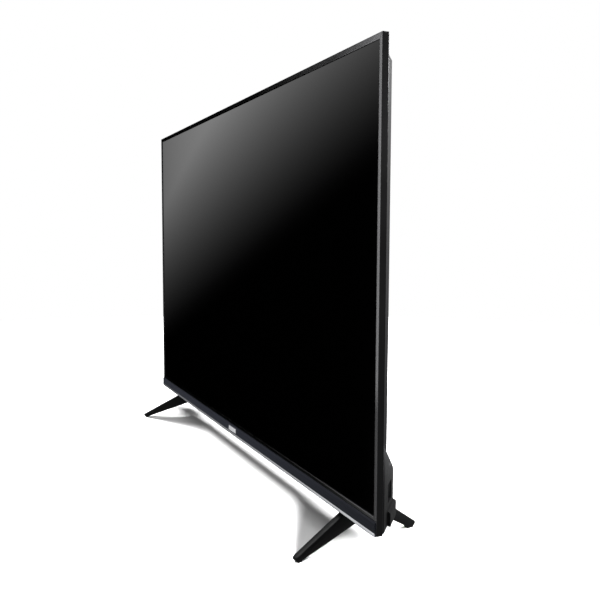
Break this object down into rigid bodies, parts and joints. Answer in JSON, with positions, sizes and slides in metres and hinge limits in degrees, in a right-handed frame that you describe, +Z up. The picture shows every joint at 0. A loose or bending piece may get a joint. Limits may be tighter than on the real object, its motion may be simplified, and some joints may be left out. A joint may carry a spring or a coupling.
{
  "type": "flat screen television",
  "caption": "Thin flat screen television with narrow bezel, brushed chin, thin rear pan, lower electronics housing and splayed feet.",
  "frame": {"origin": "on the floor under the middle of the stand's footprint", "axes": "+X to the viewer's right along the width, +Y to the back, +Z up"},
  "size_m": [1.232, 0.254, 0.78],
  "materials": {
    "bezel_alloy": "dark anodised, satin",
    "chin_brushed": "dark grey, fine brushed",
    "bright_trim": "satin silver",
    "screen_glass": "glossy black",
    "foam": "matt foam",
    "moulded_black": "fine moulded grain",
    "clear_film": "satin translucent",
    "white_sheet": "matt white",
    "pan_steel": "black powder coat",
    "plain_steel": "zinc plated",
    "dark_screw": "black zinc",
    "housing_plastic": "textured black",
    "foot_plastic": "satin black",
    "rubber": "matt",
    "green_board": "solder mask",
    "tan_board": "phenolic",
    "chip_black": "moulded",
    "sink_aluminium": "extruded",
    "socket_shell": "nickel",
    "yellow_tape": "wound tape",
    "capacitor_sleeve": "shrink sleeve",
    "ribbon": "flat cable",
    "harness_red": "insulated wire",
    "film_amber": "polyimide",
    "brass": "turned",
    "ir_window": "dark red translucent",
    "led_board": "white coated"
  },
  "bodies": {
    "set": {"bezel_top": "bezel_alloy", "bezel_left": "bezel_alloy", "bezel_right": "bezel_alloy", "bezel_bottom": "bezel_alloy", "corner_keys": "plain_steel", "chin_bar": "chin_brushed", "chin_trim": "bright_trim", "chin_plate": "bright_trim", "lcd_panel": "screen_glass", "panel_gasket": "foam", "middle_frame": "moulded_black", "optical_films": "clear_film", "diffuser_plate": "white_sheet", "reflector_sheet": "white_sheet", "led_strips": "led_board", "led_lenses": "clear_film", "cof_films": "film_amber", "source_boards": "green_board", "diffuser_posts": "clear_film", "back_chassis": "pan_steel", "wall_mount_nuts": "plain_steel", "lower_cover": "housing_plastic", "cover_screws": "dark_screw", "foot_bracket_left": "plain_steel", "foot_bracket_right": "plain_steel", "foot_left": "foot_plastic", "foot_right": "foot_plastic", "foot_pads": "rubber", "foot_screws": "dark_screw", "main_board": "green_board", "main_chips": "chip_black", "main_heat_sink": "sink_aluminium", "hdmi_sockets": "socket_shell", "usb_socket": "socket_shell", "network_socket": "socket_shell", "antenna_socket": "socket_shell", "audio_jacks": "moulded_black", "wifi_module": "green_board", "power_board": "tan_board", "transformers": "yellow_tape", "capacitors": "capacitor_sleeve", "power_heat_sinks": "sink_aluminium", "mains_inlet": "moulded_black", "timing_board": "green_board", "board_standoffs": "brass", "board_screws": "plain_steel", "speaker_box_left": "moulded_black", "speaker_box_right": "moulded_black", "speaker_drivers": "moulded_black", "speaker_grommets": "rubber", "panel_ribbons": "ribbon", "signal_ribbon": "ribbon", "power_harness": "harness_red", "speaker_leads": "rubber", "cable_clips": "white_sheet", "ir_board": "green_board", "ir_lens": "ir_window", "switch_body": "moulded_black"},
    "button": {"power_button": "moulded_black", "switch_plunger": "moulded_black"}
  },
  "joints": [
    {"name": "power_button_press", "type": "slide", "parent": "set", "child": "button", "axis": [0, 0, 1], "range_m": [0, 0.0008], "stiffness_N_per_m": 800, "springref_m": -0.0005}
  ]
}
